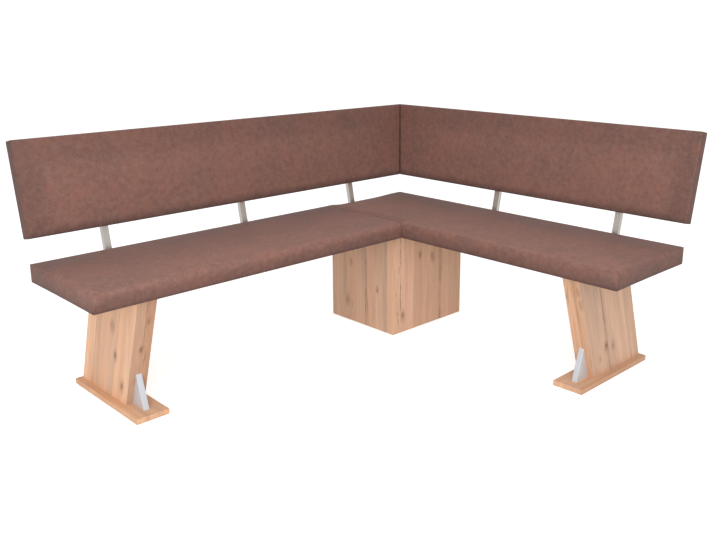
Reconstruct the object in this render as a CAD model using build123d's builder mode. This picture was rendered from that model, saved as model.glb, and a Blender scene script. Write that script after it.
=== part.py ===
from build123d import *
import os
from math import cos, isclose, radians, sin, tan

os.makedirs("parts", exist_ok=True)

# Upholstered corner bench in millimetres, +Z up. The origin is the middle of its footprint, on the floor.
# The room corner is at +X +Y: the long side runs from it towards -X, the short side towards -Y.

# Seats
long_side = 1745          # long side, from the seat's back corner to its free end
short_side = 1405         # short side, from the same corner to its free end
seat_depth = 450
seat_height = 496         # top of the crown
seat_thickness = 60
seat_crown = 4            # rise of the seat's middle over its edges
seat_edge_radius = 12     # soft upper edges
seat_corner_radius = 14   # soft upright corners
edge_limit = 0.9          # largest share of the corner radius that the edge radius takes
seat_board = 19
seat_seam = 0.5           # gap between the two seats
cover = 4                 # cover and fleece round the edges of the boards

# Backrests
back_height = 330         # along the slant
back_recline = 11.5       # degrees from upright
back_lift = 76            # lower front edge over the top of the seat
back_setback = 24         # lower front edge behind the seat's back line
back_foam = 21            # pad in front of the board
back_board = 16
back_rear_panel = 3
back_crown = 3
back_edge_radius = 6
back_end_inset = 12       # backrest's free end inside the seat's free end
rear_inset = 12           # rear panel inside the outline of the backrest
back_seam = 0.5           # gap in the mitre of the two backrests

# Backrest posts, bent from rectangular steel tube
long_posts = 3
short_posts = 2
long_first_post = 261     # from the corner
short_first_post = 525
post_end_inset = 300      # last post of a side, from the free end
post_width = 25
post_depth = 18
post_wall = 2
post_knee = 40            # bend radius of the tube's middle line
post_tail = 175           # reach under the seat, from its back line
post_rise = 215           # reach up behind the backrest
cap_head = 2
cap_plug = 12             # inside the tube's end

# Legs on foot plates
foot_inset = 146          # foot plate's outer edge, from the free end
foot_width = 118
foot_length = 450
foot_overhang = 73        # foot plate's rear end, behind the seat's back line
foot_thickness = 19
leg_heel = 9              # leg's rear face, in front of the foot plate's rear end
leg_thickness = 68
leg_depth = 322
leg_lean = 19.1           # degrees, the head stands further forward than the foot
leg_board = 16
leg_block = 40            # height of the blocks in the leg's head and foot
head_plate = 4
head_plate_width = 130
head_plate_depth = 300
gusset_thickness = 20
gusset_base = 77
gusset_height = 117
gusset_edge = 1

# Corner box
cheek_inset = 8           # cheek's face inside the short seat's front edge
front_inset = 54          # front board's face inside the long seat's front edge
rear_board_inset = 17     # rear boards inside the seat's back lines
box_cheek = 40
box_board = 19
notch_clearance = 1
cleat = 30

# Rails, brackets and glides
rail_width = 40
rail_height = 30
rail_gap = 15             # rail's ends clear of the head plate and the box
rail_screws = 4
angle_wall = 3
angle_width = 40
angle_drop = 48
angle_reach = 58
angle_inset = 95          # first angle, in front of the cheek's rear edge
angle_pitch = 158         # between the two angles
angle_margin = 10         # screws, from an angle's ends
bracket_wall = 3
bracket_wing = 65
bracket_low = 100         # foot of the backrests' corner bracket, up the slant
bracket_high = 220
glide = 1.5
glide_radius = 8

# Fasteners
screw_radius = 2.25
screw_head_radius = 4.5
screw_head = 3
board_bite = 14           # length of a screw in a board
block_bite = 25           # length of a screw in a block or a thick cheek
gusset_bite = 16
fastener_clearance = 0.1
dowel_radius = 4
dowel_length = 32
dowels = 3                # in each joint of the box
dowel_margin = 87         # outermost dowels, from the joint's ends
same_place = 0.001        # places this close are one place

# Heights and depths that follow
seat_under = seat_height - seat_thickness
seat_shoulder = seat_height - seat_crown
back_depth = back_foam + back_board + back_rear_panel
back_foot = seat_height + back_lift
recline = radians(back_recline)
back_reach = back_setback + back_height * sin(recline) + back_depth * cos(recline)
foot_top = glide + foot_thickness
leg_top = seat_under - head_plate
lean = tan(radians(leg_lean))
leg_back = leg_heel - foot_overhang
leg_front = leg_back + leg_depth
leg_head_middle = leg_back + leg_depth / 2 + lean * (leg_top - foot_top)
cheek_face = seat_depth - cheek_inset
cheek_inside = cheek_face - box_cheek
front_face = seat_depth - front_inset
front_inside = front_face - box_board
front_middle = front_face - box_board / 2
rear_inside = rear_board_inset + box_board
rear_middle = rear_board_inset + box_board / 2
cheek_cleat = cheek_inside - cleat
front_cleat = front_inside - cleat

# A place on a side is given along it from the seat's back corner, outwards from the seat's back line
# to the front, and up from the floor. The short side mirrors the long one.
UP = Vector(0, 0, 1)
DOWN = Vector(0, 0, -1)
ALONG = {"long": Vector(-1, 0, 0), "short": Vector(0, -1, 0)}
OUT = {"long": Vector(0, -1, 0), "short": Vector(-1, 0, 0)}
LENGTH = {"long": long_side, "short": short_side}
SIDES = ("long", "short")
BACK_END = {side: LENGTH[side] - back_end_inset for side in SIDES}
INWARD = (Align.CENTER, Align.CENTER, Align.MAX)
OUTWARD = (Align.CENTER, Align.CENTER, Align.MIN)
seat_corner = Vector((long_side - back_reach) / 2, (short_side - back_reach) / 2, 0)


def spot(side, along, out, up):
    """Point at a place on a side."""
    return seat_corner + ALONG[side] * along + OUT[side] * out + UP * up


def section(side, along):
    """Upright plane across a side: x runs out to the front, y up from the floor."""
    return Plane(spot(side, along, 0, 0), x_dir=OUT[side], z_dir=OUT[side].cross(UP))


def plan(side, up):
    """Level plane: x runs along a side, y out to the front."""
    return Plane(spot(side, 0, 0, up), x_dir=ALONG[side], z_dir=ALONG[side].cross(OUT[side]))


def facing(side, along, out, up, axis):
    """Plane at a place on a side with z along the axis, for a fastener."""
    return Plane(spot(side, along, out, up), z_dir=axis)


def spread(first, last, count):
    """Evenly spaced values from the first to the last."""
    return [first + (last - first) * index / (count - 1) for index in range(count)]


def quarters(low, high):
    """The two values a quarter of the way in from each end of a stretch."""
    return spread(low + (high - low) / 4, high - (high - low) / 4, 2)


def mitre(side, gap):
    """Upright plane on the corner's diagonal, facing a side and half the gap inside it."""
    inwards = (ALONG[side] - OUT[side]).normalized()
    return Plane(seat_corner + inwards * (gap / 2), z_dir=inwards)


def back_point(rise, depth):
    """Out and up of a point in a backrest: up the slant from the lower edge, in from the front face."""
    out = -back_setback - rise * sin(recline) - depth * cos(recline)
    return out, back_foot + rise * cos(recline) - depth * sin(recline)


def back_rear(side):
    """Direction square to a backrest, towards its rear."""
    return OUT[side] * -cos(recline) - UP * sin(recline)


def drill(places, grip):
    """Screw holes that run in along minus z from each place."""
    with Locations(*places):
        Cylinder(
            screw_radius + fastener_clearance,
            grip + fastener_clearance,
            align=INWARD,
            mode=Mode.SUBTRACT,
        )


def countersink(places, grip):
    """Screw holes with a flush conical seat at each place."""
    drill(places, grip)
    with Locations(*places):
        Cone(
            screw_radius + fastener_clearance,
            screw_head_radius + fastener_clearance,
            screw_head,
            align=INWARD,
            mode=Mode.SUBTRACT,
        )


def pan_screws(places, grip):
    """Pan-head screws: the head stands on each place and the shank runs in along minus z."""
    with Locations(*places):
        Cylinder(screw_head_radius, screw_head, align=OUTWARD)
        Cylinder(screw_radius, grip, align=INWARD)


def flush_screws(places, grip):
    """Countersunk screws with the head flush at each place."""
    with Locations(*places):
        Cone(screw_radius, screw_head_radius, screw_head, align=INWARD)
        Cylinder(screw_radius, grip, align=INWARD)


def dowel_holes(places):
    """Holes for dowels that are centred on each place along z."""
    with Locations(*places):
        Cylinder(
            dowel_radius + fastener_clearance,
            dowel_length + 2 * fastener_clearance,
            mode=Mode.SUBTRACT,
        )


def save(piece, name):
    """Label a finished piece and write it as its own node."""
    piece.part.label = name
    export_step(piece.part, f"parts/{name}.step")


# Places of posts and fasteners, shared by all the pieces that they join. A screw's grip is its length
# under the head.
long_post_alongs = spread(long_first_post, long_side - post_end_inset, long_posts)
short_post_alongs = spread(short_first_post, short_side - post_end_inset, short_posts)
posts = [("long", along) for along in long_post_alongs]
posts += [("short", along) for along in short_post_alongs]
corner_posts = [post for post in posts if post[0] == "long" and post[1] < seat_depth]
seat_posts = {
    "long": [post for post in posts if post[0] == "long" and post not in corner_posts],
    "short": [post for post in posts if post[0] == "short"] + corner_posts,
}
leg_middle = {side: LENGTH[side] - foot_inset - foot_width / 2 for side in SIDES}


def tail_screws(post):
    """Screws from below through a post's tail into a seat board."""
    outs = spread(post_tail / 2, post_tail - post_width, 2)
    return [facing(*post, out, seat_under - post_depth, DOWN) for out in outs]


def rise_screws(post):
    """Screws from the rear through a post into a back board."""
    points = [back_point(rise, back_depth + post_depth) for rise in quarters(0, post_rise)]
    return [facing(*post, out, up, back_rear(post[0])) for out, up in points]


tail_grip = post_depth + board_bite
rise_grip = post_depth + back_rear_panel + board_bite


def flange_screws(side):
    """Screws from below through the overhanging edges of a leg's head plate into the seat board."""
    overhang = (leg_thickness + head_plate_width) / 4
    outs = quarters(leg_head_middle - head_plate_depth / 2, leg_head_middle + head_plate_depth / 2)
    alongs = (leg_middle[side] - overhang, leg_middle[side] + overhang)
    return [facing(side, along, out, leg_top, DOWN) for along in alongs for out in outs]


def head_screws(side):
    """Flush screws from the head plate down into the leg's head block."""
    outs = quarters(leg_head_middle - leg_depth / 2, leg_head_middle + leg_depth / 2)
    return [facing(side, leg_middle[side], out, seat_under, UP) for out in outs]


def foot_screws(side):
    """Flush screws from under the foot plate into the leg's foot block."""
    return [facing(side, leg_middle[side], out, glide, DOWN) for out in quarters(leg_back, leg_front)]


def gusset_foot_screws(side):
    """Flush screws from under the foot plate into the gusset."""
    outs = quarters(leg_front, leg_front + gusset_base)
    return [facing(side, leg_middle[side], out, glide, DOWN) for out in outs]


def gusset_leg_screw(side):
    """Screw from inside the leg through its front board into the gusset."""
    up = gusset_height / 2
    out = leg_front - leg_board + lean * up
    return [facing(side, leg_middle[side], out, foot_top + up, UP * lean - OUT[side])]


flange_grip = head_plate + board_bite
head_grip = head_plate + block_bite
foot_grip = foot_thickness + block_bite
gusset_leg_grip = leg_board * cos(radians(leg_lean)) + gusset_bite

rail_span = {
    "long": (cheek_face + angle_reach + rail_gap, leg_middle["long"] - head_plate_width / 2 - rail_gap),
    "short": (front_face + rail_gap, leg_middle["short"] - head_plate_width / 2 - rail_gap),
}


def rail_screw_places(side):
    """Screws from below through a rail into the seat board."""
    start, end = rail_span[side]
    alongs = spread(start + rail_width, end - rail_width, rail_screws)
    return [facing(side, along, seat_depth / 2, seat_under - rail_height, DOWN) for along in alongs]


rail_grip = rail_height + board_bite

cleat_seat_screws = [
    facing("long", cheek_cleat + cleat / 2, out, seat_under - cleat, DOWN)
    for out in spread(rear_inside + cleat, front_cleat - cleat, 2)
] + [
    facing("long", along, front_cleat + cleat / 2, seat_under - cleat, DOWN)
    for along in spread(rear_inside + cleat, cheek_cleat - cleat, 2)
]
cheek_cleat_screws = [
    facing("long", cheek_cleat, out, seat_under - cleat / 2, -ALONG["long"])
    for out in spread(rear_inside + 2 * cleat, front_cleat - 2 * cleat, 2)
]
front_cleat_screws = [
    facing("long", along, front_cleat, seat_under - cleat / 2, -OUT["long"])
    for along in spread(rear_inside + 2 * cleat, cheek_cleat - 2 * cleat, 2)
]
cleat_grip = cleat + board_bite

first_angle = rear_board_inset + angle_inset
angle_outs = (first_angle, first_angle + angle_pitch)
angle_seat_screws = [
    facing("long", along, out, seat_under - angle_wall, DOWN)
    for out in angle_outs
    for along in spread(cheek_face + angle_reach / 2, cheek_face + angle_reach - angle_margin, 2)
]
angle_cheek_screws = [
    facing("long", cheek_face + angle_wall, out, up, ALONG["long"])
    for out in angle_outs
    for up in spread(seat_under - angle_drop + angle_margin, seat_under - 2 * angle_margin, 2)
]
angle_seat_grip = angle_wall + board_bite
angle_cheek_grip = angle_wall + block_bite


def bracket_screws(side):
    """Screws from the rear through the corner bracket into a back board."""
    points = [back_point(rise, back_depth + bracket_wall) for rise in quarters(bracket_low, bracket_high)]
    return [facing(side, out + bracket_wing / 2, out, up, back_rear(side)) for out, up in points]


bracket_grip = bracket_wall + back_rear_panel + board_bite


def dowel_row(along, out, axis):
    """Dowels up a joint of the corner box."""
    ups = spread(glide + dowel_margin, seat_under - dowel_margin, dowels)
    return [facing("long", along, out, up, axis) for up in ups]


cheek_front_dowels = dowel_row(cheek_inside, front_middle, ALONG["long"])
cheek_rear_dowels = dowel_row(cheek_inside, rear_middle, ALONG["long"])
side_front_dowels = dowel_row(rear_middle, front_inside, OUT["long"])
side_rear_dowels = dowel_row(rear_middle, rear_inside, OUT["long"])


# Seats: a board with foam and cover on top and round its edges. The corner square belongs to the short
# seat, and the long seat butts against it.
seat_span = {"long": (seat_depth + seat_seam, long_side), "short": (0, short_side)}


def pad_block(side, start, end, soft_front, soft_start, soft_end):
    """Stretch of a seat pad with a crowned top; its soft sides have rounded upper edges and corners."""

    def is_soft(edge):
        along = (edge @ 0.5 - seat_corner).dot(ALONG[side])
        out = (edge @ 0.5 - seat_corner).dot(OUT[side])
        hard_start = isclose(along, start, abs_tol=same_place) and not soft_start
        hard_end = isclose(along, end, abs_tol=same_place) and not soft_end
        hard_front = isclose(out, seat_depth, abs_tol=same_place) and not soft_front
        return not (hard_start or hard_end or hard_front)

    with BuildPart() as block:
        with BuildSketch(section(side, (start + end) / 2)):
            with BuildLine():
                rear_shoulder = (0, seat_shoulder)
                front_shoulder = (seat_depth, seat_shoulder)
                Polyline(rear_shoulder, (0, seat_under), (seat_depth, seat_under), front_shoulder)
                ThreePointArc(rear_shoulder, (seat_depth / 2, seat_height), front_shoulder)
            make_face()
        extrude(amount=(end - start) / 2, both=True)
        fillet(block.edges().filter_by(Axis.Z).filter_by(is_soft), seat_corner_radius)
        rim = block.faces().sort_by(Axis.Z)[-1].edges().filter_by(is_soft)
        fillet(rim, min(seat_edge_radius, seat_corner_radius * edge_limit))
    return block.part


def cut_seat_board(side, mode):
    """Outline of a seat's board, added as the board or cut as its pocket in the pad."""
    start, end = seat_span[side]
    with BuildSketch(plan(side, seat_under)) as outline:
        with Locations(((start + end) / 2, seat_depth / 2)):
            Rectangle(end - start - 2 * cover, seat_depth - 2 * cover)
    extrude(outline.sketch, amount=seat_board, dir=UP, mode=mode)


for side in SIDES:
    with BuildPart() as board:
        cut_seat_board(side, Mode.ADD)
        drill([place for post in seat_posts[side] for place in tail_screws(post)], tail_grip)
        drill(flange_screws(side), flange_grip)
        drill(rail_screw_places(side), rail_grip)
        if side == "short":
            drill(cleat_seat_screws, cleat_grip)
        else:
            drill(angle_seat_screws, angle_seat_grip)
    save(board, f"{side}_seat_board")

with BuildPart() as long_seat_pad:
    add(pad_block("long", seat_span["long"][0], long_side, True, False, True))
    cut_seat_board("long", Mode.SUBTRACT)
save(long_seat_pad, "long_seat_pad")

with BuildPart() as short_seat_pad:
    add(pad_block("short", 0, seat_depth, False, True, False))
    add(pad_block("short", seat_depth, short_side, True, False, True))
    cut_seat_board("short", Mode.SUBTRACT)
save(short_seat_pad, "short_seat_pad")


# Backrests: a board with a pad in front of it and round its edges, closed by a thin panel at the rear
# and mitred at the corner.
def back_slab(side, inset, front, rear, mode):
    """Flat slab in a backrest between two depths, inset from its outline, cut off at the mitre."""
    with BuildPart(mode=Mode.PRIVATE) as slab:
        with BuildSketch(section(side, (BACK_END[side] - inset - back_reach) / 2)):
            Polygon(
                back_point(inset, front),
                back_point(back_height - inset, front),
                back_point(back_height - inset, rear),
                back_point(inset, rear),
                align=None,
            )
        extrude(amount=(BACK_END[side] - inset + back_reach) / 2, both=True)
        split(bisect_by=mitre(side, back_seam))
    add(slab.part, mode=mode)


for side in SIDES:
    side_posts = [post for post in posts if post[0] == side]
    board_rear = back_foam + back_board

    with BuildPart() as board:
        back_slab(side, cover, back_foam, board_rear, Mode.ADD)
        drill([place for post in side_posts for place in rise_screws(post)], rise_grip)
        drill(bracket_screws(side), bracket_grip)
    save(board, f"{side}_back_board")

    with BuildPart() as panel:
        back_slab(side, rear_inset, board_rear, back_depth, Mode.ADD)
        drill([place for post in side_posts for place in rise_screws(post)], rise_grip)
        drill(bracket_screws(side), bracket_grip)
    save(panel, f"{side}_back_rear_panel")

    with BuildPart() as pad:
        with BuildSketch(section(side, (BACK_END[side] - back_reach) / 2)):
            with BuildLine():
                foot_edge = back_point(0, 0)
                head_edge = back_point(back_height, 0)
                rear_edges = (back_point(0, back_depth), back_point(back_height, back_depth))
                Polyline(foot_edge, *rear_edges, head_edge)
                ThreePointArc(foot_edge, back_point(back_height / 2, -back_crown), head_edge)
            make_face()
        extrude(amount=(BACK_END[side] + back_reach) / 2, both=True)
        rim = pad.faces().filter_by(GeomType.CYLINDER)[0].edges().sort_by(Axis(seat_corner, ALONG[side]))
        fillet(rim[1:], back_edge_radius)
        split(bisect_by=mitre(side, back_seam))
        back_slab(side, cover, back_foam, board_rear, Mode.SUBTRACT)
        back_slab(side, rear_inset, board_rear, back_depth, Mode.SUBTRACT)
    save(pad, f"{side}_back_pad")


# Corner bracket: a plate bent round the corner behind the two backrests, with a wing on each.
with BuildPart() as back_corner_bracket:
    for side in SIDES:
        with BuildPart(mode=Mode.PRIVATE) as wing:
            corner = back_point(bracket_high, back_depth + bracket_wall)[0]
            end = back_point(bracket_low, back_depth)[0] + bracket_wing
            with BuildSketch(section(side, (corner + end) / 2)):
                Polygon(
                    back_point(bracket_low, back_depth),
                    back_point(bracket_high, back_depth),
                    back_point(bracket_high, back_depth + bracket_wall),
                    back_point(bracket_low, back_depth + bracket_wall),
                    align=None,
                )
            extrude(amount=(end - corner) / 2, both=True)
            split(bisect_by=mitre(side, 0))
        add(wing.part)
    for side in SIDES:
        drill(bracket_screws(side), bracket_grip)
save(back_corner_bracket, "back_corner_bracket")

with BuildPart() as back_corner_screws:
    for side in SIDES:
        pan_screws(bracket_screws(side), bracket_grip)
save(back_corner_screws, "back_corner_screws")


# Posts: a tail under the seat board, a bend behind the seat, and a rise along the backrest's rear.
tail_middle = seat_under - post_depth / 2
rise_foot = back_point(0, back_depth + post_depth / 2)
rise_head = back_point(post_rise, back_depth + post_depth / 2)
knee = (rise_foot[0] + (rise_foot[1] - tail_middle) * tan(recline), tail_middle)
post_ends = []
post_numbers = {"long": 0, "short": 0}

for side, along in posts:
    with BuildPart() as post:
        with BuildLine(section(side, along)) as middle_line:
            FilletPolyline((post_tail, tail_middle), knee, rise_head, radius=post_knee)
        tail_end = Plane(middle_line.line @ 0, x_dir=ALONG[side], z_dir=middle_line.line % 0)
        rise_end = Plane(middle_line.line @ 1, x_dir=ALONG[side], z_dir=middle_line.line % 1)
        with BuildSketch(tail_end):
            Rectangle(post_width, post_depth)
            Rectangle(post_width - 2 * post_wall, post_depth - 2 * post_wall, mode=Mode.SUBTRACT)
        sweep()
        drill(tail_screws((side, along)), tail_grip)
        drill(rise_screws((side, along)), rise_grip)
    post_ends += [Plane(tail_end.origin, x_dir=ALONG[side], z_dir=-tail_end.z_dir), rise_end]
    post_numbers[side] += 1
    save(post, f"{side}_back_post_{post_numbers[side]}")

with BuildPart() as post_caps:
    plug_gap = 2 * (post_wall + fastener_clearance)
    for end in post_ends:
        with BuildSketch(end):
            Rectangle(post_width, post_depth)
        extrude(amount=cap_head)
        with BuildSketch(end):
            Rectangle(post_width - plug_gap, post_depth - plug_gap)
        extrude(amount=-cap_plug)
save(post_caps, "post_caps")

with BuildPart() as post_seat_screws:
    for post in posts:
        pan_screws(tail_screws(post), tail_grip)
save(post_seat_screws, "post_seat_screws")

with BuildPart() as post_back_screws:
    for post in posts:
        pan_screws(rise_screws(post), rise_grip)
save(post_back_screws, "post_back_screws")


# Legs: four boards mitred into a leaning box, with blocks in its head and foot.
def leg_prism(side, corners, low, high):
    """Part of a leg between two heights; its outline is given at the leg's foot and leans with the leg."""
    with BuildSketch(plan(side, low)) as outline:
        Polygon(*[(along, out + lean * (low - foot_top)) for along, out in corners], align=None)
    length = (high - low) / cos(radians(leg_lean))
    extrude(outline.sketch, amount=length, dir=UP + OUT[side] * lean)


for side in SIDES:
    middle = leg_middle[side]
    outer = middle + leg_thickness / 2
    inner = middle - leg_thickness / 2
    outside = [(outer, leg_back), (outer, leg_front), (inner, leg_front), (inner, leg_back)]
    inside = [
        (outer - leg_board, leg_back + leg_board),
        (outer - leg_board, leg_front - leg_board),
        (inner + leg_board, leg_front - leg_board),
        (inner + leg_board, leg_back + leg_board),
    ]

    # Each board runs from one corner of the box to the next, mitred at both.
    for first, name in enumerate(("outer_cheek", "front_board", "inner_cheek", "back_board")):
        last = (first + 1) % len(outside)
        with BuildPart() as board:
            outline = [outside[first], outside[last], inside[last], inside[first]]
            leg_prism(side, outline, foot_top, leg_top)
            if name == "front_board":
                drill(gusset_leg_screw(side), gusset_leg_grip)
        save(board, f"{side}_leg_{name}")

    with BuildPart() as head_block:
        leg_prism(side, inside, leg_top - leg_block, leg_top)
        drill(head_screws(side), head_grip)
    save(head_block, f"{side}_leg_head_block")

    with BuildPart() as foot_block:
        leg_prism(side, inside, foot_top, foot_top + leg_block)
        drill(foot_screws(side), foot_grip)
    save(foot_block, f"{side}_leg_foot_block")

    with BuildPart() as plate:
        with BuildSketch(plan(side, leg_top)):
            with Locations((middle, leg_head_middle)):
                Rectangle(head_plate_width, head_plate_depth)
        extrude(amount=head_plate, dir=UP)
        drill(flange_screws(side), flange_grip)
        countersink(head_screws(side), head_grip)
    save(plate, f"{side}_leg_head_plate")

    with BuildPart() as foot:
        with BuildSketch(plan(side, glide)):
            with Locations((middle, foot_length / 2 - foot_overhang)):
                Rectangle(foot_width, foot_length)
        extrude(amount=foot_thickness, dir=UP)
        countersink(foot_screws(side), foot_grip)
        countersink(gusset_foot_screws(side), foot_grip)
    save(foot, f"{side}_foot_plate")

    # Gusset: a metal wedge that braces the leg's front face against the foot plate.
    with BuildPart() as gusset:
        with BuildSketch(section(side, middle)):
            Polygon(
                (leg_front, foot_top),
                (leg_front + gusset_base, foot_top),
                (leg_front + lean * gusset_height, foot_top + gusset_height),
                align=None,
            )
        extrude(amount=gusset_thickness / 2, both=True)
        slope = gusset.faces().sort_by(Axis(seat_corner, OUT[side]))[-1]
        chamfer(slope.edges().filter_by(lambda edge: edge.length > gusset_thickness), gusset_edge)
        drill(gusset_foot_screws(side), foot_grip)
        drill(gusset_leg_screw(side), gusset_leg_grip)
    save(gusset, f"{side}_leg_gusset")

    with BuildPart() as glides:
        alongs = quarters(middle - foot_width / 2, middle + foot_width / 2)
        outs = quarters(-foot_overhang, foot_length - foot_overhang)
        with BuildSketch(plan(side, 0)):
            with Locations(*[(along, out) for along in alongs for out in outs]):
                Circle(glide_radius)
        extrude(amount=glide, dir=UP)
    save(glides, f"{side}_foot_glides")

with BuildPart() as leg_plate_screws:
    for side in SIDES:
        pan_screws(flange_screws(side), flange_grip)
save(leg_plate_screws, "leg_plate_screws")

with BuildPart() as leg_head_screws:
    for side in SIDES:
        flush_screws(head_screws(side), head_grip)
save(leg_head_screws, "leg_head_screws")

with BuildPart() as foot_plate_screws:
    for side in SIDES:
        flush_screws(foot_screws(side), foot_grip)
save(foot_plate_screws, "foot_plate_screws")

with BuildPart() as gusset_screws:
    for side in SIDES:
        flush_screws(gusset_foot_screws(side), foot_grip)
        pan_screws(gusset_leg_screw(side), gusset_leg_grip)
save(gusset_screws, "gusset_screws")


# Rails: a batten under each free stretch of seat.
for side in SIDES:
    start, end = rail_span[side]
    with BuildPart() as rail:
        with BuildSketch(plan(side, seat_under)):
            with Locations(((start + end) / 2, seat_depth / 2)):
                Rectangle(end - start, rail_width)
        extrude(amount=rail_height, dir=DOWN)
        drill(rail_screw_places(side), rail_grip)
    save(rail, f"{side}_seat_rail")

with BuildPart() as seat_rail_screws:
    for side in SIDES:
        pan_screws(rail_screw_places(side), rail_grip)
save(seat_rail_screws, "seat_rail_screws")


# Corner box: a thick cheek towards the long seat, a front board towards the short seat and two rear
# boards, dowelled together, with cleats that take the seat's screws.
def box_board_from(along, out, low):
    """Upright board over a stretch along the long side and a stretch outwards, up to the seat."""
    with BuildSketch(plan("long", low)) as outline:
        with Locations((sum(along) / 2, sum(out) / 2)):
            Rectangle(along[1] - along[0], out[1] - out[0])
    extrude(outline.sketch, amount=seat_under - low, dir=UP)


with BuildPart() as corner_box_cheek:
    box_board_from((cheek_inside, cheek_face), (rear_board_inset, front_face), glide)
    dowel_holes(cheek_front_dowels + cheek_rear_dowels)
    drill(cheek_cleat_screws, cleat_grip)
    drill(angle_cheek_screws, angle_cheek_grip)
save(corner_box_cheek, "corner_box_cheek")

with BuildPart() as corner_box_front_board:
    box_board_from((rear_board_inset, cheek_inside), (front_inside, front_face), glide)
    dowel_holes(cheek_front_dowels + side_front_dowels)
    drill(front_cleat_screws, cleat_grip)
save(corner_box_front_board, "corner_box_front_board")

with BuildPart() as corner_box_rear_board:
    box_board_from((rear_board_inset, cheek_inside), (rear_board_inset, rear_inside), glide)
    dowel_holes(cheek_rear_dowels + side_rear_dowels)
    for post in corner_posts:
        with BuildSketch(section(*post)):
            with Locations((rear_middle, seat_under)):
                Rectangle(2 * box_board, 2 * (post_depth + notch_clearance))
        extrude(amount=post_width / 2 + notch_clearance, both=True, mode=Mode.SUBTRACT)
save(corner_box_rear_board, "corner_box_rear_board")

with BuildPart() as corner_box_side_board:
    box_board_from((rear_board_inset, rear_inside), (rear_inside, front_inside), glide)
    dowel_holes(side_front_dowels + side_rear_dowels)
save(corner_box_side_board, "corner_box_side_board")

with BuildPart() as corner_box_cheek_cleat:
    box_board_from((cheek_cleat, cheek_inside), (rear_inside, front_inside), seat_under - cleat)
    drill(cheek_cleat_screws, cleat_grip)
    drill(cleat_seat_screws, cleat_grip)
save(corner_box_cheek_cleat, "corner_box_cheek_cleat")

with BuildPart() as corner_box_front_cleat:
    box_board_from((rear_inside, cheek_cleat), (front_cleat, front_inside), seat_under - cleat)
    drill(front_cleat_screws, cleat_grip)
    drill(cleat_seat_screws, cleat_grip)
save(corner_box_front_cleat, "corner_box_front_cleat")

with BuildPart() as corner_box_screws:
    pan_screws(cleat_seat_screws + cheek_cleat_screws + front_cleat_screws, cleat_grip)
save(corner_box_screws, "corner_box_screws")

with BuildPart() as corner_box_dowels:
    with Locations(*cheek_front_dowels, *cheek_rear_dowels, *side_front_dowels, *side_rear_dowels):
        Cylinder(dowel_radius, dowel_length)
save(corner_box_dowels, "corner_box_dowels")

with BuildPart() as corner_box_glides:
    alongs = (cheek_inside + box_cheek / 2, rear_middle)
    outs = quarters(rear_inside, front_inside)
    with BuildSketch(plan("long", 0)):
        with Locations(*[(along, out) for along in alongs for out in outs]):
            Circle(glide_radius)
    extrude(amount=glide, dir=UP)
save(corner_box_glides, "corner_box_glides")


# Seat angles: two steel angles that hang the end of the long seat on the box's cheek.
with BuildPart() as seat_angles:
    for out in angle_outs:
        root = spot("long", cheek_face, out, seat_under)
        with BuildSketch(Plane(root, x_dir=ALONG["long"], z_dir=OUT["long"])):
            with Locations((angle_reach / 2, 0)):
                Rectangle(angle_reach, 2 * angle_wall)
            with Locations((angle_wall / 2, 0)):
                Rectangle(angle_wall, 2 * angle_drop)
        extrude(amount=angle_width / 2, both=True)
    split(bisect_by=Plane.XY.offset(seat_under), keep=Keep.BOTTOM)
    drill(angle_seat_screws, angle_seat_grip)
    drill(angle_cheek_screws, angle_cheek_grip)
save(seat_angles, "seat_angles")

with BuildPart() as seat_angle_screws:
    pan_screws(angle_seat_screws, angle_seat_grip)
    pan_screws(angle_cheek_screws, angle_cheek_grip)
save(seat_angle_screws, "seat_angle_screws")
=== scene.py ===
from math import cos, radians, sin

import bmesh
import bpy
import numpy as np
from mathutils import Euler, Matrix, Vector


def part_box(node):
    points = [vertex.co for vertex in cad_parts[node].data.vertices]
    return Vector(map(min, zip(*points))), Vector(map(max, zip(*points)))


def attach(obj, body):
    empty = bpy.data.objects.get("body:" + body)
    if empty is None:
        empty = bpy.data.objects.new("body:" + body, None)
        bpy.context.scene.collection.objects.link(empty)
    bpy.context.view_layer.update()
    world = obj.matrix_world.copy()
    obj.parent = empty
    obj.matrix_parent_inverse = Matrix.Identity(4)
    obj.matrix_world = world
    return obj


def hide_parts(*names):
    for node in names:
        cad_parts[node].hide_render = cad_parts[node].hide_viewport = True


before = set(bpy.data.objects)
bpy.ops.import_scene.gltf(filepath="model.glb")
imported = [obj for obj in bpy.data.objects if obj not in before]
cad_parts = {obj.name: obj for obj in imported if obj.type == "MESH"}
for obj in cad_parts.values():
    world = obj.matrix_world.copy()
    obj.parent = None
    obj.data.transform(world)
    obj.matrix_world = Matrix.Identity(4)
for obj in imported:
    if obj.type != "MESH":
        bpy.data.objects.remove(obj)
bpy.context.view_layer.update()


# Corner box
# The pedestal under the corner of the seat: a thick cheek, a front board and two rear boards of chipboard
# with a wild-oak finish, butted and dowelled. The planks of the finish stand upright, with dark joints.
seat_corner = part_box("short_seat_pad")[1]
floor_corner = Vector((seat_corner.x, seat_corner.y, 0))
up = Vector((0, 0, 1))
along_side = {"long": Vector((-1, 0, 0)), "short": Vector((0, -1, 0))}
out_of_side = {"long": Vector((0, -1, 0)), "short": Vector((-1, 0, 0))}


def add(tree, kind, inputs=None, **settings):
    """Add a shader node. Inputs go by name or number: a socket is linked, a value is set."""
    made = tree.nodes.new("ShaderNode" + kind)
    for name, value in settings.items():
        setattr(made, name, value)
    for name, value in (inputs or {}).items():
        if isinstance(value, bpy.types.NodeSocket):
            tree.links.new(value, made.inputs[name])
        else:
            made.inputs[name].default_value = value
    return made


def use(tree, group, inputs):
    """Place a node group in a tree and give its outputs."""
    return add(tree, "Group", inputs, node_tree=group).outputs


def maths(tree, operation, first, second=0.0):
    """Result of a Math node on two values."""
    return add(tree, "Math", {0: first, 1: second}, operation=operation).outputs[0]


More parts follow.
